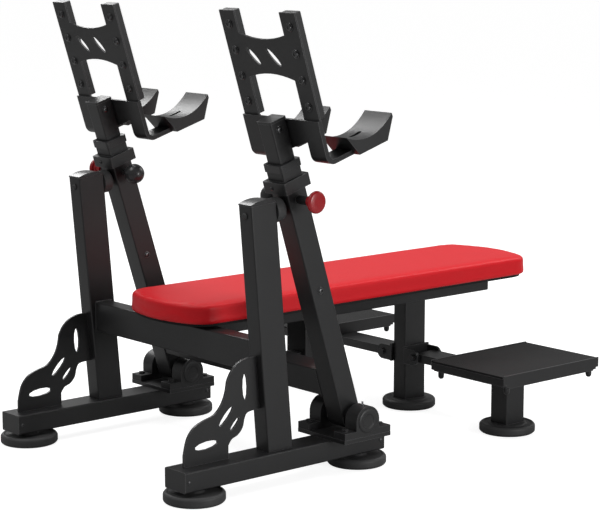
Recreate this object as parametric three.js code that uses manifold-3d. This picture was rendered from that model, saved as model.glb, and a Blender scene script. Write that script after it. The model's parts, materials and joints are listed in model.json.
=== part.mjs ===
// Olympic bench press: a flat red pad on a steel spine, two tilting bar racks that slide up and down
// in their arms, and two fold-up foot steps. Millimetres, +Z up. The origin is on the floor under the
// centre post, -Y is the head end with the racks, and the right rack stands on +X.
import * as THREE from "three";
import { mergeVertices } from "three/addons/utils/BufferGeometryUtils.js";
import Module from "manifold-3d";

const wasm = await Module();
wasm.setup();

// ---- Driving dimensions ----

const GAP = 0.3; // clearance between neighbouring pieces
const SINK = 1; // how far a welded piece sinks into its neighbour
const WALL = 3; // wall of every steel tube
const TUBE_CORNER = 4; // outer corner radius of every steel tube

const TRACK_X = 366; // centre plane of each side frame
const RAIL = { width: 82, height: 51.5, length: 648, bottom: 35.5, headEnd: -1125 };
const RAIL_TOP = RAIL.bottom + RAIL.height;
const FOOT = {
  radius: 77,
  height: 26.5,
  headY: -1067,
  benchY: -537,
  hubRadius: 20,
  seatRadius: 51,
  groove: 2.5,
  studRadius: 6,
  studReach: 20,
};

const UPRIGHT = { width: 50, depth: 80, length: 624, footY: -814, lean: THREE.MathUtils.degToRad(4.85) };
const UPRIGHT_CAP = { edge: 4, peak: 11, plugHeight: 18 };
const BUMPER = { along: 599, radius: 31, length: 37, boltRadius: 5 };
const GUSSET = { setback: 25, thickness: 6, crown: 243, crotch: 110 };
const CROSSBEAM = { depth: 50, height: 80, y: -835, z: 322 };
const SPINE = { width: 80, height: 54, bottom: 313, headY: -809.7, footY: 282 };
const CENTRE_POST = { width: 50, depth: 80 };
const TILT_STOP = { width: 80, depth: 50, y: -407, bottom: 177, armHeight: 45, armTipY: -555 };

const PIVOT = { y: -581, z: 135.5, shaftRadius: 12.5, collarRadius: 21 };
const BASE_PLATE = { width: 182, length: 157, thickness: 9.5 };
const PILLOW = { near: 48, far: 91, radius: 39, flangeLength: 156, flangeTop: -21.5, boltY: 59, cover: 10 };

const BOLT_HEAD = { radius: 9, height: 6 };

const ARM = { size: 62, length: 684, voidStart: 50, lean: THREE.MathUtils.degToRad(17.3) };
const COLLAR = { size: 84, bottom: 631, top: 661.5 };
const BUSHING = { lip: 68, lipTop: 704, sleeveBottom: 640 };
const CROSS_TUBE = { depth: 50, height: 76, y: -5, z: 100.5 };
const PIN = { along: 604, radius: 6, barrelRadius: 11, barrelEnd: 69, holePitch: 25, holeCount: 9 };
const PULL_KNOB = { start: 72, hubRadius: 15, radius: 28, end: 105 };
const CLAMP = { along: 604, studRadius: 5, ballRadius: 27, ballX: 76, bossRadius: 10, bossEnd: 38 };

const RACK_TUBE = { size: 50, bottom: 330, top: 809, capSize: 53, capHeight: 5.5 };
const BAR_X = 114; // centre of each upright bar of the rack plate
const BRACKET = {
  y: 25.3,
  plate: 6,
  strap: 12,
  width: 57,
  bend: 25,
  top: 806,
  shoulder: 750,
  heel: 690,
  legEnd: 150,
};
const THROAT = { halfTop: 85, halfBottom: 20, bottom: 728.5 };
const RACK_PLATE = {
  thickness: 4.5,
  barWidth: 56,
  bottom: 806.3,
  top: 1076,
  webTop: 1019,
  webBottom: 905,
  waist: 13,
};
const PLATE_SLOT = { centres: [-50, 27], z: 961, halfLength: 30, halfWidth: 7.5, turn: -Math.PI / 4 };
const LINER = { width: 55, thickness: 16, bottom: 807, top: 1075 };
const LINER_BOLTS = { first: 840, pitch: 67, count: 4, radius: 4, headRadius: 9, headHeight: 5, reach: 60 };
const SADDLE = {
  width: 98,
  heelY: 112.5,
  lowY: 209,
  nearY: 84,
  nearZ: 744.5,
  tipY: 240.5,
  tipZ: 750.5,
  lipZ: 741,
  troughZ: 694,
};
const SADDLE_SLOT = { x: -5, y: 157, width: 12, length: 38, floor: 713 };

const PAD = { width: 330, headY: -919.5, footY: 362, bottom: 374, height: 53, soften: 7 };
const PAD_END = { shoulder: 0.655, shoulderDrop: 17, sideDrop: 85 }; // drops back from the tip of each end
const BOARD = { inset: 11, bottom: 367.3, height: 14.4 };

const STEP = {
  x: 407,
  y: 12,
  width: 276,
  length: 380,
  corner: 6,
  bottom: 170,
  seat: 198,
  rim: 4,
  rimTop: 205.5,
  legX: 392,
};
const STEP_LAYERS = { inset: 10, lowTop: 174.5, middleTop: 180 };
const STEP_NUT = { insetX: 15, insetY: 27, radius: 8.5, drop: 19 };
const STEP_LEG = { width: 61, depth: 71 };
const STEP_ARM = { width: 80, height: 24, pivotX: 63, pivotZ: 157.7, boltRadius: 6, reach: 430 };
const STEP_BRACKET = {
  plate: 6,
  bottom: 134,
  height: 52,
  earRadius: 22,
  inside: 82,
  earThickness: 7,
  boltEnd: 54,
};
const MAT_HEIGHT = 5.2;

// ---- Materials ----

function finish(color, roughness, metalness) {
  return () => new THREE.MeshStandardMaterial({ color, roughness, metalness });
}
const powderCoat = finish(0x17171a, 0.42, 0.35);
const castHousing = finish(0x1c1c1f, 0.5, 0.3);
const blackPlastic = finish(0x121214, 0.35, 0);
const blackRubber = finish(0x101011, 0.7, 0);
const urethane = finish(0x1e1e20, 0.55, 0);
const zincSteel = finish(0x9a9da1, 0.35, 0.9);
const redPlastic = finish(0xb3121c, 0.3, 0);
const redVinyl = finish(0xd8141e, 0.45, 0);
const boardWood = finish(0x0e0e0f, 0.8, 0);

// ---- Solids: three.js makes the shapes, manifold-3d joins and cuts them ----

function toSolid(geometry) {
  const bare = geometry.clone();
  bare.deleteAttribute("normal");
  bare.deleteAttribute("uv");
  const merged = mergeVertices(bare, 1e-3);
  const vertProperties = new Float32Array(merged.attributes.position.array);
  const triVerts = new Uint32Array(merged.index.array);
  return new wasm.Manifold(new wasm.Mesh({ numProp: 3, vertProperties, triVerts }));
}

function toGeometry(solid) {
  const made = solid.getMesh();
  const geometry = new THREE.BufferGeometry();
  geometry.setAttribute("position", new THREE.BufferAttribute(made.vertProperties, 3));
  geometry.setIndex(new THREE.BufferAttribute(made.triVerts, 1));
  geometry.computeVertexNormals();
  return geometry;
}

function join(...geometries) {
  return toGeometry(geometries.map(toSolid).reduce((all, next) => all.add(next)));
}

function cut(base, ...tools) {
  return toGeometry(tools.map(toSolid).reduce((rest, tool) => rest.subtract(tool), toSolid(base)));
}

// The right-hand piece as drawn, or its mirror image for the left.
function handed(geometry, sign) {
  return sign > 0 ? geometry : toGeometry(toSolid(geometry).mirror([1, 0, 0]));
}

function block(width, depth, height, x = 0, y = 0, z = 0) {
  return new THREE.BoxGeometry(width, depth, height).translate(x, y, z);
}

// A shape drawn in the plane across an axis, extruded from one place on that axis to another.
function alongZ(shape, from, to, segments = 2) {
  const options = { depth: to - from, bevelEnabled: false, curveSegments: segments };
  return new THREE.ExtrudeGeometry(shape, options).translate(0, 0, from);
}
function alongX(shape, from, to, segments = 2) {
  return alongZ(shape, from, to, segments).rotateX(Math.PI / 2).rotateZ(Math.PI / 2);
}
function alongY(shape, from, to, segments = 2) {
  return alongZ(shape, -to, -from, segments).rotateX(Math.PI / 2);
}

// A round bar along X, Y or Z.
function rod(axis, radius, from, to, segments = 16) {
  const bar = new THREE.CylinderGeometry(radius, radius, to - from, segments);
  bar.translate(0, (from + to) / 2, 0);
  return turnTo(axis, bar);
}

// A turned shape from [radius, height] pairs that start and end on the axis.
function turned(axis, profile, segments = 24) {
  const points = profile.map(([radius, height]) => new THREE.Vector2(radius, height));
  return turnTo(axis, new THREE.LatheGeometry(points, segments));
}

function turnTo(axis, geometry) {
  if (axis === "x") return geometry.rotateZ(-Math.PI / 2);
  return axis === "z" ? geometry.rotateX(Math.PI / 2) : geometry;
}

function roundedRectangle(width, height, radius, x = 0, y = 0) {
  const shape = new THREE.Shape();
  const right = x + width / 2 - radius;
  const left = x - width / 2 + radius;
  const high = y + height / 2 - radius;
  const low = y - height / 2 + radius;
  shape.absarc(right, high, radius, 0, Math.PI / 2);
  shape.absarc(left, high, radius, Math.PI / 2, Math.PI);
  shape.absarc(left, low, radius, Math.PI, 1.5 * Math.PI);
  shape.absarc(right, low, radius, 1.5 * Math.PI, 2 * Math.PI);
  return shape;
}

// The section of a rectangular steel tube.
function tubeSection(width, height, x = 0, y = 0) {
  const section = roundedRectangle(width, height, TUBE_CORNER, x, y);
  section.holes.push(roundedRectangle(width - 2 * WALL, height - 2 * WALL, TUBE_CORNER - WALL, x, y));
  return section;
}

const bench = new THREE.Group();
bench.name = "olympic_bench_press";

function add(parent, name, geometry, makeMaterial) {
  const mesh = new THREE.Mesh(geometry, makeMaterial());
  mesh.name = name;
  parent.add(mesh);
  return mesh;
}

function groupAt(parent, x, y, z, lean = 0) {
  const group = new THREE.Group();
  group.position.set(x, y, z);
  group.rotation.x = lean;
  parent.add(group);
  return group;
}

const SIDES = [
  { name: "left", sign: -1 },
  { name: "right", sign: 1 },
];

// ---- Base: rails, feet and the bearing seats ----

function railGeometry() {
  const { width, height, length, bottom, headEnd } = RAIL;
  const middle = bottom + height / 2;
  const benchEnd = headEnd + length;
  const shell = alongY(roundedRectangle(width, height, TUBE_CORNER, 0, middle), headEnd, benchEnd);
  const inside = roundedRectangle(width - 2 * WALL, height - 2 * WALL, TUBE_CORNER - WALL, 0, middle);
  const hollow = alongY(inside, headEnd + WALL, benchEnd - WALL, 1);
  const seatHeight = BASE_PLATE.thickness + SINK;
  const seatMiddle = RAIL_TOP - SINK + seatHeight / 2;
  const seat = block(BASE_PLATE.width, BASE_PLATE.length, seatHeight, 0, PIVOT.y, seatMiddle);
  const screwHoles = [FOOT.headY, FOOT.benchY].map((y) =>
    rod("z", FOOT.studRadius + 1, bottom - WALL, bottom + 2 * WALL, 12).translate(0, y, 0),
  );
  return cut(join(shell, seat), hollow, ...screwHoles);
}

// A rubber foot disc: a plain seat under a post, or a hub and a threaded stud under a rail.
function footGeometry(hasStud) {
  const { radius, height, studRadius, hubRadius, seatRadius, groove, studReach } = FOOT;
  const disc = [
    [0, 0],
    [radius - 4, 0],
    [radius, 5],
    [radius, height - 6],
    [radius - 5, height],
    [radius - 11, height],
    [radius - 14, height - groove],
  ];
  const seat = [
    [seatRadius + groove, height - groove],
    [seatRadius, height],
    [0, height],
  ];
  const hub = [
    [hubRadius + 4, height - groove],
    [hubRadius, RAIL.bottom - GAP],
    [studRadius, RAIL.bottom - GAP],
    [studRadius, RAIL.bottom + studReach],
    [0, RAIL.bottom + studReach],
  ];
  return turned("z", [...disc, ...(hasStud ? hub : seat)], 28);
}

function pillowBlockGeometry(side) {
  const { near, far, radius, flangeLength, flangeTop, boltY, cover } = PILLOW;
  const flangeBottom = RAIL_TOP + BASE_PLATE.thickness + GAP - PIVOT.z;
  const outline = new THREE.Shape();
  outline.moveTo(-flangeLength / 2, flangeBottom);
  outline.lineTo(flangeLength / 2, flangeBottom);
  outline.lineTo(flangeLength / 2, flangeTop);
  outline.lineTo(radius, flangeTop);
  outline.absarc(0, 0, radius, 0, Math.PI);
  outline.lineTo(-radius, flangeTop);
  outline.lineTo(-flangeLength / 2, flangeTop);
  const from = side > 0 ? near : -far;
  const housing = alongX(outline, from, from + far - near, 12);
  const bore = rod("x", PIVOT.shaftRadius + GAP, near - 1, far - cover, 24);
  if (side < 0) bore.rotateZ(Math.PI);
  const heads = [-boltY, boltY].map((y) =>
    rod("z", BOLT_HEAD.radius, flangeTop - SINK, flangeTop + BOLT_HEAD.height, 6).translate(
      (side * (near + far)) / 2,
      y,
      0,
    ),
  );
  return cut(join(housing, ...heads), bore);
}

function addBase() {
  for (const { name, sign } of SIDES) {
    const rail = add(bench, `rail_${name}`, railGeometry(), powderCoat);
    rail.position.x = sign * TRACK_X;
    const headFoot = add(bench, `foot_head_${name}`, footGeometry(true), blackRubber);
    headFoot.position.set(sign * TRACK_X, FOOT.headY, 0);
    const benchFoot = add(bench, `foot_bench_${name}`, footGeometry(true), blackRubber);
    benchFoot.position.set(sign * TRACK_X, FOOT.benchY, 0);
    const pivot = groupAt(bench, sign * TRACK_X, PIVOT.y, PIVOT.z);
    add(pivot, `pillow_block_${name}_outer`, pillowBlockGeometry(sign), castHousing);
    add(pivot, `pillow_block_${name}_inner`, pillowBlockGeometry(-sign), castHousing);
  }
  add(bench, "foot_centre", footGeometry(false), blackRubber);
}

// ---- Leaning uprights with their gussets, caps and arm bumpers ----

// World Y of the upright's head-end face at height z.
function uprightFaceY(z) {
  const halfDepth = UPRIGHT.depth / 2 / Math.cos(UPRIGHT.lean);
  return UPRIGHT.footY - halfDepth - (z - RAIL_TOP) * Math.tan(UPRIGHT.lean);
}

function uprightGeometry() {
  const post = alongZ(tubeSection(UPRIGHT.width, UPRIGHT.depth), -20, UPRIGHT.length);
  const floorCut = block(200, 400, 100, 0, 0, GAP - 50).rotateX(-UPRIGHT.lean);
  const boltHole = rod("y", BUMPER.boltRadius + GAP, -100, 100, 12).translate(0, 0, BUMPER.along);
  return cut(post, floorCut, boltHole);
}

function uprightCapGeometry() {
  const { width, depth, length } = UPRIGHT;
  const { edge, peak, plugHeight } = UPRIGHT_CAP;
  const dome = new THREE.Shape();
  dome.moveTo(-depth / 2, length + GAP);
  dome.lineTo(depth / 2, length + GAP);
  dome.lineTo(depth / 2, length + edge);
  dome.quadraticCurveTo(0, length + 2 * peak - edge, -depth / 2, length + edge);
  const clear = 2 * (WALL + GAP);
  const plug = block(width - clear, depth - clear, plugHeight, 0, 0, length + SINK - plugHeight / 2);
  return join(alongX(dome, -width / 2, width / 2, 8), plug);
}

function bumperGeometry() {
  const back = UPRIGHT.depth / 2;
  const head = -back - GAP;
  const { radius, length, boltRadius } = BUMPER;
  const profile = [
    [0, head - 5],
    [5, head - 5],
    [8.5, head - 2],
    [8.5, head],
    [boltRadius, head],
    [boltRadius, back + GAP],
    [radius, back + GAP],
    [radius, back + length * 0.6],
    [radius - 3, back + length * 0.75],
    [radius - 12, back + length * 0.93],
    [6, back + length],
    [0, back + length],
  ];
  return turned("y", profile).translate(0, 0, BUMPER.along);
}

// The swept gusset plate, drawn in the YZ plane from its toe on the rail to the upright.
function gussetGeometry() {
  const { setback, thickness } = GUSSET;
  const toe = RAIL.headEnd + setback;
  const low = RAIL_TOP + GAP;
  const v = (y, z) => new THREE.Vector2(toe + y, low + z);
  const crown = low + GUSSET.crown;
  const crotch = low + GUSSET.crotch;
  const crownEnd = new THREE.Vector2(uprightFaceY(crown) - GAP, crown);
  const plate = new THREE.Shape();
  plate.moveTo(toe, low);
  plate.lineTo(toe, low + 30);
  plate.splineThru([v(11, 70), v(32, 95), v(60, 107), v(92, 116), v(114, 136), v(128, 164), v(134, 194)]);
  plate.splineThru([v(146, 215), v(168, 234), v(196, 243), crownEnd]);
  plate.lineTo(uprightFaceY(crotch) - GAP, crotch);
  plate.splineThru([v(200, 107), v(189, 95), v(182, 71), v(167, 55), v(148, 47), v(137, 33)]);
  plate.lineTo(toe + 137, low);
  const windows = [
    { y: 190, z: 172, across: 8, along: 34, turn: 0.03 },
    { y: 130, z: 107, across: 7, along: 31, turn: -0.76 },
    { y: 157, z: 84, across: 5, along: 21, turn: -0.75 },
    { y: 69, z: 45, across: 10, along: 36, turn: -1.5 },
  ];
  for (const { y, z, across, along, turn } of windows) {
    const window = new THREE.Path();
    window.absellipse(toe + y, low + z, across, along, 0, 2 * Math.PI, false, turn);
    plate.holes.push(window);
  }
  return alongX(plate, -thickness / 2, thickness / 2, 5);
}

function addUprights() {
  for (const { name, sign } of SIDES) {
    const gusset = add(bench, `gusset_${name}`, gussetGeometry(), powderCoat);
    gusset.position.x = sign * TRACK_X;
    const upright = groupAt(bench, sign * TRACK_X, UPRIGHT.footY, RAIL_TOP, UPRIGHT.lean);
    add(upright, `upright_${name}`, uprightGeometry(), powderCoat);
    add(upright, `upright_cap_${name}`, uprightCapGeometry(), blackPlastic);
    add(upright, `arm_bumper_${name}`, bumperGeometry(), blackRubber);
  }
}

// ---- Bench frame: crossbeam, spine, posts, board and pad ----

function crossbeamGeometry() {
  const reach = TRACK_X - UPRIGHT.width / 2 - GAP;
  const { depth, height, y, z } = CROSSBEAM;
  return alongX(tubeSection(depth, height, y, z), -reach, reach);
}

function spineGeometry() {
  const middle = SPINE.bottom + SPINE.height / 2;
  const tube = alongY(tubeSection(SPINE.width, SPINE.height, 0, middle), SPINE.headY, SPINE.footY);
  const endPlate = block(SPINE.width - WALL, WALL, SPINE.height - WALL, 0, SPINE.footY - WALL / 2, middle);
  return join(tube, endPlate);
}

function centrePostGeometry() {
  const { width, depth } = CENTRE_POST;
  return alongZ(tubeSection(width, depth), FOOT.height + GAP, SPINE.bottom - GAP);
}

// A short post under the spine whose forward arm stops the tilting frame.
function tiltStopGeometry() {
  const { width, depth, y, bottom, armHeight, armTipY } = TILT_STOP;
  const post = alongZ(tubeSection(width, depth, 0, y), bottom, SPINE.bottom - GAP);
  const armMiddle = bottom + armHeight / 2;
  const arm = alongY(tubeSection(armHeight, armHeight, 0, armMiddle), armTipY, y - depth / 2 + SINK);
  return join(post, arm);
}

// The pad's outline: straight sides, broad round corners and bowed ends.
function padOutline(inset) {
  const half = PAD.width / 2 - inset;
  const { shoulderDrop, sideDrop } = PAD_END;
  const shoulder = half * PAD_END.shoulder;
  const cornerDrop = shoulderDrop * (2 / PAD_END.shoulder - 1);
  const outline = new THREE.Shape();
  const addEnd = (tip, side, back) => {
    const shoulderY = tip + back * shoulderDrop;
    const cornerY = tip + back * cornerDrop;
    outline.quadraticCurveTo(side * half, cornerY, side * shoulder, shoulderY);
    outline.quadraticCurveTo(0, tip - back * shoulderDrop, -side * shoulder, shoulderY);
    outline.quadraticCurveTo(-side * half, cornerY, -side * half, tip + back * sideDrop);
  };
  const head = PAD.headY + inset;
  const foot = PAD.footY - inset;
  outline.moveTo(half, head + sideDrop);
  outline.lineTo(half, foot - sideDrop);
  addEnd(foot, 1, -1);
  outline.lineTo(-half, head + sideDrop);
  addEnd(head, -1, 1);
  return outline;
}

// The upholstered pad, whose skirt covers the upper half of the board's edge.
function padGeometry() {
  const top = PAD.bottom + PAD.height;
  const rim = alongZ(padOutline(0), PAD.bottom, top - PAD.soften, 6);
  const crown = alongZ(padOutline(PAD.soften), PAD.bottom + SINK, top, 6);
  const boardTop = BOARD.bottom + BOARD.height;
  const recess = alongZ(padOutline(BOARD.inset - GAP), PAD.bottom - SINK, boardTop + GAP, 6);
  return cut(join(rim, crown), recess);
}

function addBenchFrame() {
  add(bench, "front_crossbeam", crossbeamGeometry(), powderCoat);
  add(bench, "spine", spineGeometry(), powderCoat);
  add(bench, "centre_post", centrePostGeometry(), powderCoat);
  add(bench, "tilt_stop", tiltStopGeometry(), powderCoat);
  const board = alongZ(padOutline(BOARD.inset), BOARD.bottom, BOARD.bottom + BOARD.height, 6);
  add(bench, "pad_board", board, boardWood);
  add(bench, "bench_pad", padGeometry(), redVinyl);
}

// ---- Tilting frame: two arms joined by a cross tube, drawn along each arm's own axis ----

function armGeometry() {
  const { size, length, voidStart } = ARM;
  const half = size / 2;
  const inside = size - 2 * WALL;
  const tube = alongZ(roundedRectangle(size, size, TUBE_CORNER), 0, length);
  const heel = rod("x", half, -half, half, 32);
  const collar = alongZ(roundedRectangle(COLLAR.size, COLLAR.size, TUBE_CORNER), COLLAR.bottom, COLLAR.top);
  const barrel = rod("x", PIN.barrelRadius, half - SINK, PIN.barrelEnd).translate(0, 0, PIN.along);
  const boss = rod("x", CLAMP.bossRadius, -CLAMP.bossEnd, SINK - half, 6).translate(0, 0, CLAMP.along);
  const hollow = alongZ(roundedRectangle(inside, inside, 1), voidStart, length + 1, 1);
  const shaftHole = rod("x", PIVOT.shaftRadius + GAP, -size, size, 24);
  const pinHole = rod("x", PIN.radius + GAP, 0, PIN.barrelEnd + 1, 16).translate(0, 0, PIN.along);
  const studHole = rod("x", CLAMP.studRadius + GAP, -size, 0, 16).translate(0, 0, CLAMP.along);
  return cut(join(tube, heel, collar, barrel, boss), hollow, shaftHole, pinHole, studHole);
}

// The pivot shaft with the two set collars that keep the arm centred between its bearings.
function shaftGeometry() {
  const { shaftRadius, collarRadius } = PIVOT;
  const end = PILLOW.far - PILLOW.cover - 2 * GAP;
  const inner = ARM.size / 2 + GAP;
  const outer = PILLOW.near - GAP;
  const half = [
    [shaftRadius, inner],
    [collarRadius, inner],
    [collarRadius, outer],
    [shaftRadius, outer],
    [shaftRadius, end],
    [0, end],
  ];
  const otherHalf = half.map(([radius, x]) => [radius, -x]).reverse();
  return turned("x", [...otherHalf, ...half]);
}

function crossTubeGeometry() {
  const reach = TRACK_X - ARM.size / 2 - GAP;
  const { depth, height, y, z } = CROSS_TUBE;
  return alongX(tubeSection(depth, height, y, z), -reach, reach);
}

function bushingGeometry() {
  const { lip, lipTop, sleeveBottom } = BUSHING;
  const outside = ARM.size - 2 * WALL - 2 * GAP;
  const inside = RACK_TUBE.size + 2 * GAP;
  const sleeve = alongZ(roundedRectangle(outside, outside, 1), sleeveBottom, lipTop, 1);
  const collar = alongZ(roundedRectangle(lip, lip, 6), ARM.length + GAP, lipTop);
  const bore = alongZ(roundedRectangle(inside, inside, TUBE_CORNER), sleeveBottom - 1, lipTop + 1);
  return cut(join(sleeve, collar), bore);
}

// The spring pin with its stepped pull knob. Its tip waits just outside the rack tube's holes.
function pullPinGeometry() {
  const { start, hubRadius, radius, end } = PULL_KNOB;
  const tip = RACK_TUBE.size / 2 + 2 * GAP;
  const rim = end - 15;
  return turned("x", [
    [0, tip],
    [PIN.radius - 1.5, tip],
    [PIN.radius, tip + 2],
    [PIN.radius, start],
    [hubRadius, start],
    [hubRadius, rim - 7],
    [hubRadius + 4, rim - 5],
    [hubRadius + 4, rim],
    [radius - 2, rim],
    [radius, rim + 3],
    [radius, end - 5],
    [radius - 4, end],
    [0, end],
  ]);
}

function clampKnobGeometry() {
  const { studRadius, ballRadius, ballX } = CLAMP;
  const stud = rod("x", studRadius, -ballX, -RACK_TUBE.size / 2 - 2 * GAP, 16);
  const neck = rod("x", studRadius + 5, ballRadius - ballX - 2, ballRadius - ballX + 5, 16);
  const ball = new THREE.SphereGeometry(ballRadius, 20, 12).rotateZ(Math.PI / 2).translate(-ballX, 0, 0);
  return join(stud, neck, ball);
}

// ---- Sliding racks: a tube in each arm that carries a slotted plate, liners and saddles ----

function rackTubeGeometry() {
  const { size, bottom, top, capSize, capHeight } = RACK_TUBE;
  const inside = size - 2 * WALL;
  const tube = alongZ(roundedRectangle(size, size, TUBE_CORNER), bottom, top);
  const cap = alongZ(roundedRectangle(capSize, capSize, TUBE_CORNER), top - 1, top + capHeight);
  const hollow = alongZ(roundedRectangle(inside, inside, 1), bottom - 1, top - WALL, 1);
  const pinHoles = Array.from({ length: PIN.holeCount }, (_, step) =>
    rod("x", PIN.radius + GAP, 0, size, 16).translate(0, 0, PIN.along - step * PIN.holePitch),
  );
  return cut(join(tube, cap), hollow, ...pinHoles);
}

// The cross plate welded to the rack tube, with the two bent straps that carry the saddles.
function rackBracketGeometry() {
  const { y, plate, strap, top, shoulder, heel, legEnd, width, bend } = BRACKET;
  const reach = BAR_X + width / 2;
  const front = new THREE.Shape();
  front.moveTo(-reach, shoulder);
  front.lineTo(-THROAT.halfTop, shoulder);
  front.lineTo(-THROAT.halfBottom, THROAT.bottom);
  front.lineTo(THROAT.halfBottom, THROAT.bottom);
  front.lineTo(THROAT.halfTop, shoulder);
  front.lineTo(reach, shoulder);
  front.lineTo(reach, top);
  front.lineTo(-reach, top);
  const crossPlate = alongY(front, y, y + plate);
  const side = new THREE.Shape();
  side.moveTo(y, top);
  side.lineTo(y, heel + bend);
  side.absarc(y + bend, heel + bend, bend, Math.PI, 1.5 * Math.PI);
  side.lineTo(legEnd, heel);
  side.lineTo(legEnd, heel + strap);
  side.lineTo(y + bend, heel + strap);
  side.absarc(y + bend, heel + bend, bend - strap, 1.5 * Math.PI, Math.PI, true);
  side.lineTo(y + strap, top);
  const straps = [-BAR_X, BAR_X].map((x) => alongX(side, x - width / 2, x + width / 2, 4));
  return join(crossPlate, ...straps);
}

function linerBoltHeights() {
  const { first, pitch, count } = LINER_BOLTS;
  return Array.from({ length: count }, (_, index) => first + index * pitch);
}

// The slotted plate: two upright bars and a waisted web between them.
function rackPlateGeometry() {
  const { thickness, barWidth, bottom, top, webTop, webBottom, waist } = RACK_PLATE;
  const outer = BAR_X + barWidth / 2;
  const inner = BAR_X - barWidth / 2;
  const outline = new THREE.Shape();
  outline.moveTo(-outer, bottom);
  outline.lineTo(-inner, bottom);
  outline.lineTo(-inner, webBottom);
  outline.quadraticCurveTo(0, webBottom + 2 * waist, inner, webBottom);
  outline.lineTo(inner, bottom);
  outline.lineTo(outer, bottom);
  outline.lineTo(outer, top);
  outline.lineTo(inner, top);
  outline.lineTo(inner, webTop);
  outline.quadraticCurveTo(0, webTop - 2 * waist, -inner, webTop);
  outline.lineTo(-inner, top);
  outline.lineTo(-outer, top);
  const { centres, z: slotZ, halfLength, halfWidth, turn } = PLATE_SLOT;
  for (const x of centres) {
    const slot = new THREE.Path();
    slot.absellipse(x, slotZ, halfLength, halfWidth, 0, 2 * Math.PI, false, turn);
    outline.holes.push(slot);
  }
  const back = BRACKET.y + BRACKET.plate + GAP;
  const plate = alongY(outline, back, back + thickness, 8);
  const boltHole = (x, z) => rod("y", LINER_BOLTS.radius + GAP, 0, LINER_BOLTS.reach, 12).translate(x, 0, z);
  const holes = [-BAR_X, BAR_X].flatMap((x) => linerBoltHeights().map((z) => boltHole(x, z)));
  return cut(plate, ...holes);
}

// A plastic liner strip with the four round-headed bolts that hold it to its bar.
function linerGeometry() {
  const { radius, headRadius, headHeight } = LINER_BOLTS;
  const barHead = BRACKET.y + BRACKET.plate + GAP;
  const back = barHead + RACK_PLATE.thickness + GAP;
  const middle = (LINER.bottom + LINER.top) / 2;
  const height = LINER.top - LINER.bottom;
  const strip = alongY(roundedRectangle(LINER.width, height, 3, 0, middle), back, back + LINER.thickness);
  const bolts = linerBoltHeights().map((z) =>
    turned("y", [
      [0, barHead - GAP - headHeight],
      [headRadius * 0.55, barHead - GAP - headHeight],
      [headRadius, barHead - GAP - headHeight * 0.45],
      [headRadius, barHead - GAP],
      [radius, barHead - GAP],
      [radius, back + 1],
      [0, back + 1],
    ], 12).translate(0, 0, z),
  );
  return join(strip, ...bolts);
}

// The bar saddle: a broad trough with an upturned lip, bolted over its strap.
function saddleGeometry() {
  const { width, nearY, nearZ, lowY, tipY, tipZ, lipZ, troughZ, heelY } = SADDLE;
  const profile = new THREE.Shape();
  profile.moveTo(heelY, BRACKET.heel);
  profile.lineTo(lowY, BRACKET.heel);
  profile.lineTo(tipY + 1, lipZ);
  profile.lineTo(tipY, tipZ);
  profile.quadraticCurveTo((nearY + tipY) / 2 - 4, troughZ, nearY, nearZ);
  const body = alongX(profile, -width / 2, width / 2, 12);
  const channelWidth = BRACKET.width + 2 * GAP;
  const channelHeight = 2 * (BRACKET.strap + GAP);
  const channelDepth = 2 * (BRACKET.legEnd + GAP);
  const channel = block(channelWidth, channelDepth, channelHeight, 0, 0, BRACKET.heel);
  const { x, y, width: across, length, floor } = SADDLE_SLOT;
  const recess = alongZ(roundedRectangle(across, length, across / 2 - 0.1, x, y), floor, nearZ, 6);
  return cut(body, channel, recess);
}

// ---- Folding foot steps ----

function stepBracketGeometry() {
  const { plate, bottom, height, earRadius, inside, earThickness, boltEnd } = STEP_BRACKET;
  const { pivotX, pivotZ, boltRadius } = STEP_ARM;
  const face = CENTRE_POST.width / 2 + GAP;
  const depth = inside + 2 * earThickness;
  const base = block(plate, depth, height, face + plate / 2, 0, bottom + height / 2);
  const ear = new THREE.Shape();
  ear.moveTo(face, pivotZ - earRadius);
  ear.lineTo(pivotX, pivotZ - earRadius);
  ear.absarc(pivotX, pivotZ, earRadius, -Math.PI / 2, Math.PI / 2);
  ear.lineTo(face, pivotZ + earRadius);
  const ears = [-1, 1].map((side) => {
    const near = side * (inside / 2);
    const far = side * (inside / 2 + earThickness);
    return alongY(ear, Math.min(near, far), Math.max(near, far), 10);
  });
  const bolt = rod("y", boltRadius, -depth / 2, depth / 2, 16).translate(pivotX, 0, pivotZ);
  const head = rod("y", boltRadius + 4, -boltEnd, SINK - depth / 2, 6).translate(pivotX, 0, pivotZ);
  const nut = rod("y", boltRadius + 4, depth / 2 - SINK, boltEnd, 6).translate(pivotX, 0, pivotZ);
  return join(base, ...ears, bolt, head, nut);
}

// The step's welded frame: a flat arm from the hinge to under the tray, and the leg it stands on.
function stepFrameGeometry() {
  const { width, height, pivotX, pivotZ, boltRadius, reach } = STEP_ARM;
  const top = STEP.bottom - GAP;
  const bottom = top - height;
  const arm = new THREE.Shape();
  arm.moveTo(pivotX, bottom);
  arm.lineTo(reach, bottom);
  arm.lineTo(reach, top);
  arm.lineTo(pivotX, top);
  arm.absarc(pivotX, (top + bottom) / 2, height / 2, Math.PI / 2, 1.5 * Math.PI);
  const armBar = alongY(arm, -width / 2, width / 2, 10);
  const legTube = tubeSection(STEP_LEG.width, STEP_LEG.depth, STEP.legX, 0);
  const leg = alongZ(legTube, FOOT.height + GAP, bottom + 1);
  const boltHole = rod("y", boltRadius + GAP, -width, width, 16).translate(pivotX, 0, pivotZ);
  return cut(join(armBar, leg), boltHole);
}

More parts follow.
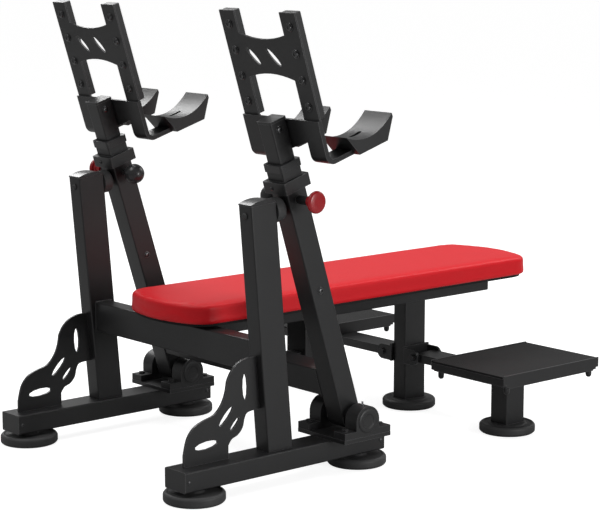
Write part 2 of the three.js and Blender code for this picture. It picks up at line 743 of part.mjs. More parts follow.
// The tray: a pan with low rims along both long sides, two layers stepped in at its ends under it, and a
// domed nut near each corner.
function stepTrayGeometry() {
  const { x, y, width, length, bottom, seat, rimTop, rim, corner } = STEP;
  const { inset, lowTop, middleTop } = STEP_LAYERS;
  const layer = (stepIn, from, to) =>
    alongZ(roundedRectangle(width, length - 2 * stepIn, corner, x, y), from, to);
  const layers = [layer(2 * inset, bottom, lowTop), layer(inset, lowTop - SINK, middleTop)];
  const pan = layer(0, middleTop - SINK, rimTop);
  const well = block(width - 2 * rim, 2 * length, 2 * (rimTop - seat), x, y, rimTop);
  const { insetX, insetY } = STEP_NUT;
  const nuts = [-1, 1].flatMap((across) =>
    [-1, 1].map((along) =>
      stepNut().translate(x + across * (width / 2 - insetX), y + along * (length / 2 - insetY), bottom),
    ),
  );
  return join(cut(pan, well), ...layers, ...nuts);
}

function stepNut() {
  const { radius, drop } = STEP_NUT;
  const profile = [
    [0, -drop],
    [radius * 0.5, 0.6 - drop],
    [radius * 0.85, 3.5 - drop],
    [radius, 8 - drop],
    [radius, SINK],
    [0, SINK],
  ];
  return turned("z", profile, 12);
}

function stepMatGeometry() {
  const { x, y, width, length, seat, rim, corner } = STEP;
  const across = width - 2 * rim - 2 * GAP;
  const mat = roundedRectangle(across, length - 2, corner, x, y);
  return alongZ(mat, seat + GAP, seat + GAP + MAT_HEIGHT);
}

// ---- Assembly ----

function addTiltingFrame() {
  const frame = groupAt(bench, 0, PIVOT.y, PIVOT.z, ARM.lean);
  add(frame, "cross_tube", crossTubeGeometry(), powderCoat);
  for (const { name, sign } of SIDES) {
    const arm = groupAt(frame, sign * TRACK_X, 0, 0);
    add(arm, `arm_${name}`, handed(armGeometry(), sign), powderCoat);
    add(arm, `pivot_shaft_${name}`, shaftGeometry(), zincSteel);
    add(arm, `glide_bushing_${name}`, bushingGeometry(), blackPlastic);
    const pin = add(arm, `pull_pin_${name}`, handed(pullPinGeometry(), sign), redPlastic);
    pin.position.z = PIN.along;
    const knob = add(arm, `clamp_knob_${name}`, handed(clampKnobGeometry(), sign), blackPlastic);
    knob.position.z = CLAMP.along;
    addRack(arm, name, sign);
  }
}

function addRack(arm, name, sign) {
  add(arm, `rack_tube_${name}`, handed(rackTubeGeometry(), sign), powderCoat);
  add(arm, `rack_bracket_${name}`, rackBracketGeometry(), powderCoat);
  add(arm, `rack_plate_${name}`, rackPlateGeometry(), powderCoat);
  for (const [place, side] of [["outer", sign], ["inner", -sign]]) {
    const liner = add(arm, `liner_${name}_${place}`, linerGeometry(), urethane);
    liner.position.x = side * BAR_X;
    const saddle = add(arm, `saddle_${name}_${place}`, saddleGeometry(), urethane);
    saddle.position.x = side * BAR_X;
  }
}

function addSteps() {
  for (const { name, sign } of SIDES) {
    add(bench, `step_bracket_${name}`, handed(stepBracketGeometry(), sign), powderCoat);
    add(bench, `step_frame_${name}`, handed(stepFrameGeometry(), sign), powderCoat);
    add(bench, `step_tray_${name}`, handed(stepTrayGeometry(), sign), powderCoat);
    add(bench, `step_mat_${name}`, handed(stepMatGeometry(), sign), blackRubber);
    const foot = add(bench, `step_foot_${name}`, footGeometry(false), blackRubber);
    foot.position.x = sign * STEP.legX;
  }
}

addBase();
addUprights();
addBenchFrame();
addTiltingFrame();
addSteps();

export default bench;
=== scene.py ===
"""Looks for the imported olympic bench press: powder-coated steel, red vinyl, rubber and plastic."""

import json
import math

import bmesh
import bpy
from mathutils import Matrix, Vector


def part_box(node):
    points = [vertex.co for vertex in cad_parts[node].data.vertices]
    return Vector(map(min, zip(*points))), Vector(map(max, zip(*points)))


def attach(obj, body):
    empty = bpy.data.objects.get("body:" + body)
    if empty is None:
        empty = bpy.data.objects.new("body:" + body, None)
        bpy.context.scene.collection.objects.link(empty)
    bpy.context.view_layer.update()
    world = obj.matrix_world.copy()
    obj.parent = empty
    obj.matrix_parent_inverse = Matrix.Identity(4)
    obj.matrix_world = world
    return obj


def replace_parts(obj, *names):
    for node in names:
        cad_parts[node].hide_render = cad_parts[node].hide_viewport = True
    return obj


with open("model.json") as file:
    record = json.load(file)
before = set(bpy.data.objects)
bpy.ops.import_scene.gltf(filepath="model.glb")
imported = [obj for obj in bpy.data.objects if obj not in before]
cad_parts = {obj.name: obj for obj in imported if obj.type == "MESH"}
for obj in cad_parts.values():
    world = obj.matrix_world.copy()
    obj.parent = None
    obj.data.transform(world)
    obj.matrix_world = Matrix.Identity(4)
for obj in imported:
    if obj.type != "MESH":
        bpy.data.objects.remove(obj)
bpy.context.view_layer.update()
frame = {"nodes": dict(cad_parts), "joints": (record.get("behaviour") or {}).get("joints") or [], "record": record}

MM = 0.001
SIDES = (("left", -1), ("right", 1))
X_AXIS = Vector((1, 0, 0))

# The tilting arms' own directions: UP runs along an arm and ACROSS points from it towards the lifter.
JOINTS = {joint["name"]: joint for joint in frame["joints"]}
PIVOT = Vector(JOINTS["rack_tilt"]["pos_m"])
UP = Vector(JOINTS["rack_height_left"]["axis"]).normalized()
ACROSS = UP.cross(X_AXIS)
TRACK_X = sum(corner.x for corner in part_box("upright_right")) / 2


def on_arm(x, across, along):
    """A place beside an arm: x from the bench's centre plane, then millimetres across and along the arm."""
    return Vector((x, PIVOT.y, PIVOT.z)) + ACROSS * across * MM + UP * along * MM


# ---- Camera, floor and light ----

CAMERA_PLACE = (4.0019, -3.8413, 1.3565)
CAMERA_AZIMUTH = math.radians(49.449)
CAMERA_PITCH = math.radians(9.365)
CAMERA_LENS = 117.046

LIGHT_AIM = (0, -0.4, 0.5)
LIGHTS = (
    {"name": "key", "place": (-0.8, -3.6, 5.2), "size": 1.8, "power": 84},
    {"name": "side", "place": (4.6, 0.2, 1.2), "size": 1.8, "power": 96},
    {"name": "back", "place": (0.6, 3.6, 3.4), "size": 2.2, "power": 60},
    {"name": "rim", "place": (-4.2, 0.2, 3.8), "size": 2.0, "power": 130},
    {"name": "top", "place": (0.2, 0, 4.2), "size": 2.4, "power": 70},
)
WORLD_GLOW = 0.32  # what the white surroundings add to the bench's own light
FLOOR_GREY = 0.4
FLOOR_GLOW = 0.86  # lifts the floor to white where the camera sees it
FLOOR_HALF = 60
FLOOR_DROP = 0.5 * MM


def add_camera():
    data = bpy.data.cameras.new("camera")
    data.lens = CAMERA_LENS
    data.sensor_width = 36
    data.clip_end = 90
    camera = bpy.data.objects.new("camera", data)
    camera.location = CAMERA_PLACE
    camera.rotation_euler = (math.pi / 2 - CAMERA_PITCH, 0, CAMERA_AZIMUTH)
    bpy.context.scene.collection.objects.link(camera)
    bpy.context.scene.camera = camera


def add_light(name, place, size, power):
    data = bpy.data.lights.new(name, "AREA")
    data.shape = "SQUARE"
    data.size = size
    data.energy = power
    light = bpy.data.objects.new(name, data)
    light.location = place
    light.rotation_euler = (Vector(LIGHT_AIM) - Vector(place)).to_track_quat("-Z", "Y").to_euler()
    bpy.context.scene.collection.objects.link(light)


def camera_sees(tree, elsewhere, seen):
    """One strength for what the camera sees directly and another for the light that bounces."""
    path = tree.nodes.new("ShaderNodeLightPath")
    return add_range(tree, path.outputs["Is Camera Ray"], 0, 1, elsewhere, seen)


def add_world():
    world = bpy.data.worlds.new("studio")
    world.use_nodes = True
    tree = world.node_tree
    background = tree.nodes["Background"]
    background.inputs["Color"].default_value = (1, 1, 1, 1)
    tree.links.new(camera_sees(tree, WORLD_GLOW, 1), background.inputs["Strength"])
    bpy.context.scene.world = world


def add_floor():
    half = FLOOR_HALF
    corners = [(-half, -half, 0), (half, -half, 0), (half, half, 0), (-half, half, 0)]
    mesh = bpy.data.meshes.new("floor")
    mesh.from_pydata(corners, [], [(0, 1, 2, 3)])
    floor = bpy.data.objects.new("floor", mesh)
    floor.location.z = -FLOOR_DROP
    bpy.context.scene.collection.objects.link(floor)
    material = bpy.data.materials.new("studio_floor")
    material.use_nodes = True
    tree = material.node_tree
    shader = tree.nodes["Principled BSDF"]
    shader.inputs["Base Color"].default_value = (FLOOR_GREY, FLOOR_GREY, FLOOR_GREY, 1)
    shader.inputs["Roughness"].default_value = 0.9
    shader.inputs["Specular IOR Level"].default_value = 0.1
    shader.inputs["Emission Color"].default_value = (1, 1, 1, 1)
    tree.links.new(camera_sees(tree, 0, FLOOR_GLOW), shader.inputs["Emission Strength"])
    mesh.materials.append(material)


def add_studio():
    bpy.context.scene.view_settings.view_transform = "Standard"
    add_camera()
    add_world()
    for light in LIGHTS:
        add_light(**light)
    add_floor()


# ---- Materials ----

BROAD_SCALE = 14
BROAD_DETAIL = 4
FINE_DETAIL = 3
# Width of the paler edges, which are a painted edge highlight as well as wear.
HIGHLIGHT_AND_WEAR_WIDTH = 2 * MM
RELIEF_DEPTH = 0.3 * MM
PORE_SHARE = 0.6  # how many pores there are for each grain


def add_noise(tree, scale, detail, place):
    noise = tree.nodes.new("ShaderNodeTexNoise")
    noise.inputs["Scale"].default_value = scale
    noise.inputs["Detail"].default_value = detail
    tree.links.new(place, noise.inputs["Vector"])
    return noise.outputs["Fac"]


def add_mix(tree, factor, a, b):
    """A colour mix; a and b are colours or sockets."""
    mix = tree.nodes.new("ShaderNodeMix")
    mix.data_type = "RGBA"
    tree.links.new(factor, mix.inputs["Factor"])
    for socket, value in ((mix.inputs["A"], a), (mix.inputs["B"], b)):
        if isinstance(value, (tuple, list)):
            socket.default_value = (*value, 1)
        else:
            tree.links.new(value, socket)
    return mix.outputs["Result"]


def add_range(tree, value, from_min, from_max, to_min, to_max):
    spread = tree.nodes.new("ShaderNodeMapRange")
    spread.inputs["From Min"].default_value = from_min
    spread.inputs["From Max"].default_value = from_max
    spread.inputs["To Min"].default_value = to_min
    spread.inputs["To Max"].default_value = to_max
    tree.links.new(value, spread.inputs["Value"])
    return spread.outputs["Result"]


def edge_highlight_and_wear_mask(tree):
    """1 on sharp outside edges, 0 on flats: the mask for paler edges, a painted edge highlight as well as wear."""
    soft = tree.nodes.new("ShaderNodeBevel")
    soft.samples = 4
    soft.inputs["Radius"].default_value = HIGHLIGHT_AND_WEAR_WIDTH
    flat = tree.nodes.new("ShaderNodeNewGeometry")
    turn = tree.nodes.new("ShaderNodeVectorMath")
    turn.operation = "DOT_PRODUCT"
    tree.links.new(soft.outputs["Normal"], turn.inputs[0])
    tree.links.new(flat.outputs["Normal"], turn.inputs[1])
    return add_range(tree, turn.outputs["Value"], 0.995, 0.86, 0, 1)


def surface(name, color, roughness, grain, bump, vary=0.15, metallic=0.0, specular=0.5, wear_and_highlight=None,
            sheen=0.0, pores=False):
    """A procedural surface: broad colour variation, fine grain in bump and roughness, paler edges that are a
    painted edge highlight as well as wear.
    """
    material = bpy.data.materials.new(name)
    material.use_nodes = True
    tree = material.node_tree
    shader = tree.nodes["Principled BSDF"]
    shader.inputs["Metallic"].default_value = metallic
    shader.inputs["Specular IOR Level"].default_value = specular
    shader.inputs["Sheen Weight"].default_value = sheen
    place = tree.nodes.new("ShaderNodeTexCoord").outputs["Object"]

    broad = add_noise(tree, BROAD_SCALE, BROAD_DETAIL, place)
    fine = add_noise(tree, grain, FINE_DETAIL, place)
    shade = add_mix(tree, broad, [c * (1 - vary) for c in color], [c * (1 + vary) for c in color])
    # Sharp edges turn paler: a painted edge highlight as well as wear.
    if wear_and_highlight:
        shade = add_mix(tree, edge_highlight_and_wear_mask(tree), shade, wear_and_highlight)
    tree.links.new(shade, shader.inputs["Base Color"])
    gloss = add_range(tree, fine, 0, 1, roughness - 0.06, roughness + 0.08)
    tree.links.new(gloss, shader.inputs["Roughness"])

    height = fine
    if pores:
        cells = tree.nodes.new("ShaderNodeTexVoronoi")
        cells.feature = "DISTANCE_TO_EDGE"
        cells.inputs["Scale"].default_value = grain * PORE_SHARE
        tree.links.new(place, cells.inputs["Vector"])
        height = add_range(tree, cells.outputs["Distance"], 0, 0.12, 0, 1)
    relief = tree.nodes.new("ShaderNodeBump")
    relief.inputs["Strength"].default_value = bump
    relief.inputs["Distance"].default_value = RELIEF_DEPTH
    tree.links.new(height, relief.inputs["Height"])
    tree.links.new(relief.outputs["Normal"], shader.inputs["Normal"])
    return material


# The wear colours below make sharp edges paler: a painted edge highlight as well as wear.
FINISHES = {
    "powder_coated_steel": surface(
        "powder_coat", (0.014, 0.014, 0.0145), 0.36, 1100, 0.16, specular=0.4, wear_and_highlight=(0.1, 0.1, 0.103)
    ),
    "cast_housing": surface(
        "cast_housing", (0.012, 0.012, 0.0125), 0.46, 380, 0.5, 0.25, specular=0.4, wear_and_highlight=(0.06, 0.06, 0.062)
    ),
    "black_plastic": surface("black_plastic", (0.02, 0.02, 0.021), 0.28, 1500, 0.08, specular=0.45),
    "black_rubber": surface("black_rubber", (0.036, 0.036, 0.0365), 0.55, 700, 0.3, 0.3, specular=0.35),
    "urethane": surface(
        "urethane", (0.012, 0.012, 0.0125), 0.42, 1300, 0.2, specular=0.4, wear_and_highlight=(0.06, 0.06, 0.062)
    ),
    "zinc_steel": surface("zinc_steel", (0.3, 0.31, 0.32), 0.34, 700, 0.12, 0.12, metallic=1.0),
    "black_oxide": surface("black_oxide", (0.1, 0.1, 0.102), 0.3, 900, 0.08, 0.15, metallic=1.0),
    "red_plastic": surface("red_plastic", (0.3, 0.006, 0.01), 0.24, 1200, 0.05, 0.06, specular=0.5),
    "red_vinyl": surface(
        "red_vinyl", (0.6, 0.0055, 0.0115), 0.42, 700, 0.16, 0.04, specular=0.24, sheen=0.01, pores=True
    ),
    "board": surface("board", (0.01, 0.01, 0.01), 0.75, 300, 0.4, 0.3, specular=0.25),
    "mat": surface("mat", (0.009, 0.009, 0.0092), 0.66, 420, 0.6, 0.3, specular=0.22, pores=True),
}


def dress_cad_nodes():
    """Every CAD node gets its finish, softened edges and smooth round surfaces."""
    slots = {entry["node"]: entry["material_slot"] for entry in frame["record"]["subparts"]}
    for name, node in frame["nodes"].items():
        node.data.materials.clear()
        node.data.materials.append(FINISHES["mat" if name.startswith("step_mat") else slots[name]])
        weld = node.modifiers.new("weld", "WELD")
        weld.merge_threshold = 0.02 * MM
        bevel = node.modifiers.new("bevel", "BEVEL")
        bevel.width = MM
        bevel.segments = 2
        bevel.limit_method = "ANGLE"
        bevel.angle_limit = math.radians(40)
        split = node.modifiers.new("crisp", "EDGE_SPLIT")
        split.split_angle = math.radians(42)
        split.use_edge_sharp = False
        node.modifiers.new("level", "WEIGHTED_NORMAL").keep_sharp = True
        node.data.shade_smooth()


# ---- Making pieces ----


def add_piece(name, mesh, slot, body, finish=None):
    """Links a finished mesh as one piece of the bench that moves with a body."""
    mesh.materials.append(FINISHES[finish or slot])
    piece = bpy.data.objects.new(name, mesh)
    bpy.context.scene.collection.objects.link(piece)
    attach(piece, body)
    return piece


def mesh_from(name, bm, smooth_angle):
    bmesh.ops.recalc_face_normals(bm, faces=bm.faces)
    mesh = bpy.data.meshes.new(name)
    bm.to_mesh(mesh)
    bm.free()
    mesh.shade_smooth()
    mesh.set_sharp_from_angle(angle=math.radians(smooth_angle))
    return mesh


def turns_of(segments):
    return [2 * math.pi * step / segments for step in range(segments)]


def circle(bm, radius, height, segments):
    """A ring of vertices round the Z axis."""
    return [bm.verts.new((radius * math.cos(t), radius * math.sin(t), height)) for t in turns_of(segments)]


def bridge(bm, low, high):
    """Faces between two rings of vertices, one of which may be a single tip."""
    count = max(len(low), len(high))
    for step in range(count):
        after = (step + 1) % count
        lower = [low[step % len(low)], low[after % len(low)]]
        upper = [high[after % len(high)], high[step % len(high)]]
        bm.faces.new(list(dict.fromkeys(lower + upper)))


def turn_to(bm, place, axis):
    """Stands a shape drawn round the Z axis on its place, with Z along the axis."""
    turn = Vector(axis).to_track_quat("Z", "Y").to_matrix().to_4x4()
    bm.transform(Matrix.Translation(place) @ turn)


def revolve(name, profile, place, axis, segments):
    """A turned solid from (radius, height) pairs in millimetres that start and end on the axis."""
    bm = bmesh.new()
    rings = []
    for radius, height in profile:
        if radius == 0:
            rings.append([bm.verts.new((0, 0, height * MM))])
        else:
            rings.append(circle(bm, radius * MM, height * MM, segments))
    for low, high in zip(rings, rings[1:]):
        bridge(bm, low, high)
    turn_to(bm, place, axis)
    return mesh_from(name, bm, 35)


def rounded(profile, radius, steps=3):
    """The profile with its inner corners eased by short curves."""
    eased = [profile[0]]
    for before, corner, after in zip(profile, profile[1:], profile[2:]):
        here = Vector(corner)
        back = Vector(before) - here
        ahead = Vector(after) - here
        reach = min(radius, back.length * 0.45, ahead.length * 0.45)
        start = here + back.normalized() * reach
        end = here + ahead.normalized() * reach
        for step in range(steps + 1):
            t = step / steps
            point = start * (1 - t) ** 2 + here * 2 * t * (1 - t) + end * t ** 2
            eased.append((max(point.x, 0.0), point.y))
    eased.append(profile[-1])
    return eased


# ---- Rubber feet and hand knobs ----

FOOT_RADIUS = 76.8
FOOT_HEIGHT = 26.5
FOOT_GROOVE = 2.6
BALL_RADIUS = 27


def foot_profile(has_stud):
    """A disc with a groove round its top, and a hub that rises to the rail or a flat seat."""
    rim = FOOT_HEIGHT - 0.2
    floor = FOOT_HEIGHT - FOOT_GROOVE
    disc = [(0, 0.2), (72, 0.2), (FOOT_RADIUS, 5), (FOOT_RADIUS, FOOT_HEIGHT - 6), (72, rim), (67, rim)]
    if has_stud:
        hub_top = FOOT_HEIGHT + 8.8
        return disc + [(65, floor), (26, floor), (21, FOOT_HEIGHT + 4), (19.5, hub_top), (0, hub_top)]
    return disc + [(65, floor), (53.5, floor), (51, rim), (0, rim)]


def add_feet():
    """Moulded rubber discs, turned finer than the CAD's."""
    rows = [("foot_centre", "bench_frame", False)]
    for side, _ in SIDES:
        rows += [(f"foot_{end}_{side}", "bench_frame", True) for end in ("head", "bench")]
        rows.append((f"step_foot_{side}", f"step_{side}", False))
    for node, body, has_stud in rows:
        low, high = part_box(node)
        middle = (low + high) / 2
        place = Vector((middle.x, middle.y, 0))
        mesh = revolve(f"{node}_disc", rounded(foot_profile(has_stud), 2.2), place, (0, 0, 1), 96)
        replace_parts(add_piece(f"{node}_disc", mesh, "black_rubber", body), node)


def knob_ends(node, outward):
    """Where a knob's inner end is, and how many millimetres it reaches outwards along X."""
    low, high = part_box(node)
    middle = (low + high) / 2
    outer = high.x if outward > 0 else low.x
    inner = low.x if outward > 0 else high.x
    return Vector((inner, middle.y, middle.z)), abs(outer - inner) / MM


def add_pull_knobs():
    """Red mushroom knobs with a waist and a rim, on their plated pins."""
    for side, sign in SIDES:
        node = f"pull_pin_{side}"
        place, reach = knob_ends(node, sign)
        axis = (sign, 0, 0)
        start = reach - 33.5
        hub = [(0, start), (12, start), (15, start + 1.5), (15, reach - 22)]
        waist = [(19, reach - 19.5), (19.5, reach - 15.5), (25, reach - 14.6)]
        cap = [(28, reach - 11), (28, reach - 6), (24, reach - 1.4), (12, reach - 0.2), (0, reach - 0.2)]
        mesh = revolve(f"pull_knob_{side}", rounded(hub + waist + cap, 1.8), place, axis, 80)
        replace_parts(add_piece(f"pull_knob_{side}", mesh, "red_plastic", node), node)
        pin = [(0, 0), (4.2, 0), (5.8, 2.4), (5.8, start + 0.6), (0, start + 0.6)]
        mesh = revolve(f"pull_pin_steel_{side}", pin, place, axis, 32)
        add_piece(f"pull_pin_steel_{side}", mesh, "zinc_steel", node)


def add_clamp_knobs():
    """Black ball knobs with a turned neck on a plated stud."""
    for side, sign in SIDES:
        node = f"clamp_knob_{side}"
        place, reach = knob_ends(node, -sign)
        axis = (-sign, 0, 0)
        centre = reach - BALL_RADIUS
        base = centre - BALL_RADIUS
        turns = [math.radians(angle) for angle in range(-66, 90, 6)]
        ball = [(BALL_RADIUS * math.cos(t) - 0.1, centre + BALL_RADIUS * math.sin(t)) for t in turns]
        neck = [(0, base - 4.6), (9.5, base - 4.6), (10, base - 4), (10, centre - 25.6)]
        mesh = revolve(f"ball_knob_{side}", neck + ball + [(0, reach - 0.1)], place, axis, 72)
        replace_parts(add_piece(f"ball_knob_{side}", mesh, "black_plastic", node), node)
        stud = [(0, 0), (4.2, 0), (4.9, 0.8), (4.9, base - 4.2), (0, base - 4.2)]
        mesh = revolve(f"clamp_stud_{side}", stud, place, axis, 32)
        add_piece(f"clamp_stud_{side}", mesh, "zinc_steel", node)


# ---- Bolts, welds and bearing covers ----

HEAD_SEGMENTS = 36
HEAD_FLATNESS = 0.45  # height of a bolt head's profile for each unit of its radius
HEAD_PROFILE = (
    (1.22, 0), (1.26, 0.18), (1.2, 0.34), (1, 0.36), (1, 0.62), (0.93, 0.98), (0.74, 1.26), (0.5, 1.36),
)
SOCKET_LEVELS = (1.36, 0.7)
SOCKET_RADIUS = 0.48

LINER_BOLTS = {"first": 840, "pitch": 67, "count": 4, "face": 31.2, "radius": 9.2}
RACK_BOLT = {"half": 25, "across": -3, "along": 788}
ARM_BOLT = {"half": 31, "across": -2, "along": 357.5}
SIDE_BOLT_RADIUS = 7.5
COLLAR_SCREW = {"x": -9, "across": -42, "along": 646, "radius": 4.5}
RAIL_SCREW = {"half": 41, "inset": 12, "height": 61, "radius": 4}

WELD_RADIUS = 2.6
WELD_STEP = 1.6
WELD_SIDES = 8
CROSS_TUBE_ACROSS = (-30, 20)
CROSS_TUBE_ALONG = (62.5, 138.5)


def button_head(name, place, axis, radius, body):
    """A black button-head screw on a washer, with a hexagon socket sunk in its dome."""
    size = radius * MM
    bm = bmesh.new()
    rings = []
    for reach, height in HEAD_PROFILE:
        rings.append(circle(bm, reach * size, height * size * HEAD_FLATNESS, HEAD_SEGMENTS))
    for level in SOCKET_LEVELS:
        ring = []
        for turn in turns_of(HEAD_SEGMENTS):
            flat = math.cos(math.pi / 6) / math.cos((turn % (math.pi / 3)) - math.pi / 6)
            reach = SOCKET_RADIUS * size * flat
            height = level * size * HEAD_FLATNESS
            ring.append(bm.verts.new((reach * math.cos(turn), reach * math.sin(turn), height)))
        rings.append(ring)
    for low, high in zip(rings, rings[1:]):
        bridge(bm, low, high)
    bm.faces.new(rings[0][::-1])
    bm.faces.new(rings[-1])
    turn_to(bm, place, axis)
    return add_piece(name, mesh_from(name, bm, 30), "zinc_steel", body, "black_oxide")


def add_liner_bolts(side):
    for row in range(LINER_BOLTS["count"]):
        along = LINER_BOLTS["first"] + LINER_BOLTS["pitch"] * row
        for where in ("outer", "inner"):
            bar_x = sum(corner.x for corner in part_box(f"liner_{side}_{where}")) / 2
            place = on_arm(bar_x, LINER_BOLTS["face"], along)
            name = f"liner_bolt_{side}_{where}_{row + 1}"
            button_head(name, place, -ACROSS, LINER_BOLTS["radius"], f"rack_{side}")


def add_side_bolts(side, sign):
    """One bolt on the rack tube and one on the arm, both facing +X, and the collar's set screw."""
    x = sign * TRACK_X
    for name, spot, body in (("rack_bolt", RACK_BOLT, f"rack_{side}"), ("arm_bolt", ARM_BOLT, "tilt_frame")):
        place = on_arm(x + spot["half"] * MM, spot["across"], spot["along"])
        button_head(f"{name}_{side}", place, X_AXIS, SIDE_BOLT_RADIUS, body)
    place = on_arm(x + COLLAR_SCREW["x"] * MM, COLLAR_SCREW["across"], COLLAR_SCREW["along"])
    button_head(f"collar_screw_{side}", place, -ACROSS, COLLAR_SCREW["radius"], "tilt_frame")


def add_rail_screws(side, sign):
    low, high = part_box(f"rail_{side}")
    inset = RAIL_SCREW["inset"] * MM
    for end, y in (("head", low.y + inset), ("bench", high.y - inset)):
        for face, way in (("outer", 1), ("inner", -1)):
            x = sign * TRACK_X + way * RAIL_SCREW["half"] * MM
            place = Vector((x, y, RAIL_SCREW["height"] * MM))
            name = f"rail_screw_{side}_{end}_{face}"
            button_head(name, place, (way, 0, 0), RAIL_SCREW["radius"], "bench_frame")


def add_bolts():
    for side, sign in SIDES:
        add_liner_bolts(side)
        add_side_bolts(side, sign)
        add_rail_screws(side, sign)


def weld_bead(name, corners, body):
    """A rippled weld round a closed loop of corner points."""
    points = []
    for start, end in zip(corners, corners[1:] + corners[:1]):
        count = max(2, round((end - start).length / (WELD_STEP * MM)))
        points += [start.lerp(end, step / count) for step in range(count)]
    middle = sum(points, Vector()) / len(points)
    plane = (corners[1] - corners[0]).cross(corners[2] - corners[1]).normalized()
    bm = bmesh.new()
    rings = []
    for index, point in enumerate(points):
        ahead = (points[(index + 1) % len(points)] - points[index - 1]).normalized()
        out = ahead.cross(plane).normalized()
        if out.dot(point - middle) < 0:
            out = -out
        swell = WELD_RADIUS * MM * (1 + 0.16 * math.sin(index * 1.9))
        around = [out * math.cos(t) + plane * math.sin(t) for t in turns_of(WELD_SIDES)]
        rings.append([bm.verts.new(point + way * swell) for way in around])
    for index, ring in enumerate(rings):
        bridge(bm, ring, rings[(index + 1) % len(rings)])
    add_piece(name, mesh_from(name, bm, 80), "powder_coated_steel", body)


def loop_in(plane, level, low, high):
    """The four corners of a box's outline across the x, y or z axis, at one level of that axis."""
    normal = "xyz".index(plane)
    first, second = [index for index in range(3) if index != normal]
    corners = []
    for a, b in ((low, low), (high, low), (high, high), (low, high)):
        point = [0.0, 0.0, 0.0]
        point[normal] = level
        point[first] = a[first]
        point[second] = b[second]
        corners.append(Vector(point))
    return corners


def add_welds():
    beam_low, beam_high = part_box("front_crossbeam")
    tube_low, tube_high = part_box("cross_tube")
    near, far = CROSS_TUBE_ACROSS
    start, end = CROSS_TUBE_ALONG
    for side, sign in SIDES:
        level = beam_high.x if sign > 0 else beam_low.x
        weld_bead(f"weld_crossbeam_{side}", loop_in("x", level, beam_low, beam_high), "bench_frame")
        level = tube_high.x if sign > 0 else tube_low.x
        outline = ((near, start), (far, start), (far, end), (near, end))
        corners = [on_arm(level, across, along) for across, along in outline]
        weld_bead(f"weld_cross_tube_{side}", corners, "tilt_frame")
    low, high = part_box("spine")
    weld_bead("weld_spine", loop_in("y", low.y, low, high), "bench_frame")
    low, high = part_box("centre_post")
    weld_bead("weld_centre_post", loop_in("z", high.z, low, high), "bench_frame")


COVER_PROFILE = [(0, 0), (31, 0), (31, 1.6), (27, 3), (19, 3), (17, 1.4), (0, 1.4)]
NIPPLE_PROFILE = [(0, 0), (4.4, 0), (4.4, 2.6), (2.2, 3.2), (2.2, 6), (3, 7.2), (2.6, 9), (0, 9.6)]
COVER_SINK = 0.4 * MM
NIPPLE_SINK = 0.6 * MM


def add_bearing_covers():
    """A stepped end cover and a grease nipple on each cast bearing housing."""
    for side, sign in SIDES:
        for where in ("outer", "inner"):
            low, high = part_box(f"pillow_block_{side}_{where}")
            middle = (low.x + high.x) / 2
            away = 1 if middle > sign * TRACK_X else -1
            face = high.x if away > 0 else low.x
            place = Vector((face - away * COVER_SINK, PIVOT.y, PIVOT.z))
            name = f"bearing_cover_{side}_{where}"
            mesh = revolve(name, rounded(COVER_PROFILE, 1), place, (away, 0, 0), 72)
            add_piece(name, mesh, "cast_housing", "bench_frame")
            top = Vector((middle, PIVOT.y, high.z - NIPPLE_SINK))
            name = f"grease_nipple_{side}_{where}"
            add_piece(name, revolve(name, NIPPLE_PROFILE, top, (0, 0, 1), 20), "zinc_steel", "bench_frame")


# ---- Upholstery ----

PAD_SHOULDER = 0.655  # share of the half width where an end's round corner begins
PAD_SHOULDER_DROP = 17 * MM
PAD_SIDE_DROP = 85 * MM
PAD_CURVE_STEPS = 14
PAD_INSET = 1.5 * MM
RECESS = 8.2  # how far the pad's skirt hangs down over the edge of its board, in millimetres
SKIRT = 10.2  # the skirt's thickness before the slab is inset
VOXEL = 5 * MM
SWELL_FRAMES = 20
SWELL_PRESSURE = 4
SWELL_CAP = 2 * MM


def pad_outline(half, head, foot):
    """Straight sides, broad round corners and bowed ends, as (x, y) pairs in metres."""
    shoulder = PAD_SHOULDER * half
    corner_drop = PAD_SHOULDER_DROP * (2 / PAD_SHOULDER - 1)
    points = []

    def curve(a, b, c):
        for step in range(PAD_CURVE_STEPS):
            t = step / PAD_CURVE_STEPS
            points.append(tuple(a[i] * (1 - t) ** 2 + b[i] * 2 * t * (1 - t) + c[i] * t ** 2 for i in (0, 1)))

    for tip, side, back in ((foot, 1, -1), (head, -1, 1)):
        left = (side * half, tip + back * PAD_SIDE_DROP)
        first = (side * shoulder, tip + back * PAD_SHOULDER_DROP)
        second = (-side * shoulder, tip + back * PAD_SHOULDER_DROP)
        right = (-side * half, tip + back * PAD_SIDE_DROP)
        curve(left, (side * half, tip + back * corner_drop), first)
        curve(first, (0, tip - back * PAD_SHOULDER_DROP), second)
        curve(second, (-side * half, tip + back * corner_drop), right)
        points.append(right)
    return points


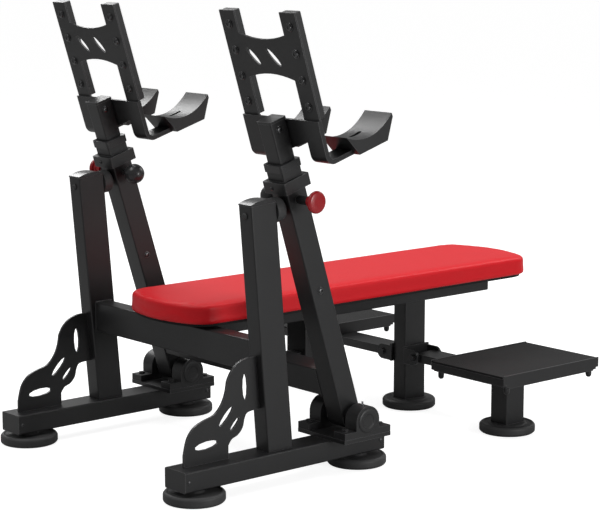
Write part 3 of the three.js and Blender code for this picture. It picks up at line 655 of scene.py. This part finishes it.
def pad_slab(low, high):
    """The pad before it swells: a slab with eased edges and a recess for its board."""
    half_x = high.x - PAD_INSET
    half_y = (high.y - low.y) / 2 - PAD_INSET
    outline = pad_outline(half_x, low.y + PAD_INSET, high.y - PAD_INSET)
    top = (high.z - low.z) / MM
    skirt = SKIRT - PAD_INSET / MM
    under = ((skirt, RECESS), (skirt, 0.4), (3, 0.4), (0.8, 1.4), (0, 5))
    over = ((0, top - 9.5), (1, top - 5.4), (3.6, top - 2.6), (8, top - 1.4), (14, top - 1))
    middle_y = (low.y + high.y) / 2
    bm = bmesh.new()
    rings = []
    for pull, height in under + over:
        scale_x = 1 - pull * MM / half_x
        scale_y = 1 - pull * MM / half_y
        z = low.z + height * MM
        ring = [(x * scale_x, middle_y + (y - middle_y) * scale_y, z) for x, y in outline]
        rings.append([bm.verts.new(point) for point in ring])
    for below, above in zip(rings, rings[1:]):
        bridge(bm, below, above)
    bm.faces.new(rings[0])
    bm.faces.new(rings[-1])
    bmesh.ops.triangulate(bm, faces=[face for face in bm.faces if len(face.verts) > 4])
    return mesh_from("bench_cushion", bm, 180)


def apply_modifiers(piece):
    made = bpy.data.meshes.new_from_object(piece.evaluated_get(bpy.context.evaluated_depsgraph_get()))
    piece.modifiers.clear()
    piece.data = made


def remesh(piece):
    modifier = piece.modifiers.new("voxels", "REMESH")
    modifier.mode = "VOXEL"
    modifier.voxel_size = VOXEL
    modifier.use_smooth_shade = True
    apply_modifiers(piece)


def inflate(piece, floor_z, top_z):
    """Swells the piece as a pressurised cover, then limits how far each point moved."""
    rest = [vertex.co.copy() for vertex in piece.data.vertices]
    group = piece.vertex_groups.new(name="held")
    held = [index for index, co in enumerate(rest) if co.z < floor_z + (RECESS + 3) * MM]
    group.add(held, 1.0, "REPLACE")
    cloth = piece.modifiers.new("cloth", "CLOTH")
    settings = cloth.settings
    settings.quality = 5
    settings.use_pressure = True
    settings.uniform_pressure_force = SWELL_PRESSURE
    settings.effector_weights.gravity = 0
    settings.vertex_group_mass = "held"
    settings.tension_stiffness = 40
    settings.compression_stiffness = 40
    settings.bending_stiffness = 4
    cloth.collision_settings.use_collision = False
    cloth.point_cache.frame_start = 1
    cloth.point_cache.frame_end = SWELL_FRAMES
    scene = bpy.context.scene
    for step in range(1, SWELL_FRAMES + 1):
        scene.frame_set(step)
    apply_modifiers(piece)
    scene.frame_set(1)
    for vertex, start in zip(piece.data.vertices, rest):
        move = vertex.co - start
        if move.length > SWELL_CAP:
            vertex.co = start + move.normalized() * SWELL_CAP
        vertex.co.z = min(max(vertex.co.z, floor_z), top_z)


def relax(piece):
    """Evens out the swollen cover and doubles its fineness."""
    smooth = piece.modifiers.new("relax", "SMOOTH")
    smooth.factor = 0.5
    smooth.iterations = 6
    finer = piece.modifiers.new("finer", "SUBSURF")
    finer.levels = 1
    finer.render_levels = 1
    apply_modifiers(piece)


def add_pad():
    """The red cushion: foam and cover swollen by simulation, resting flat on its board."""
    low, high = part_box("bench_pad")
    piece = bpy.data.objects.new("bench_cushion", pad_slab(low, high))
    bpy.context.scene.collection.objects.link(piece)
    remesh(piece)
    inflate(piece, low.z + 0.3 * MM, high.z + 1 * MM)
    relax(piece)
    piece.data.materials.clear()
    piece.data.materials.append(FINISHES["red_vinyl"])
    piece.data.shade_smooth()
    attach(piece, "bench_frame")
    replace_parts(piece, "bench_pad")


add_studio()
dress_cad_nodes()
add_feet()
add_pull_knobs()
add_clamp_knobs()
add_bolts()
add_welds()
add_bearing_covers()
add_pad()
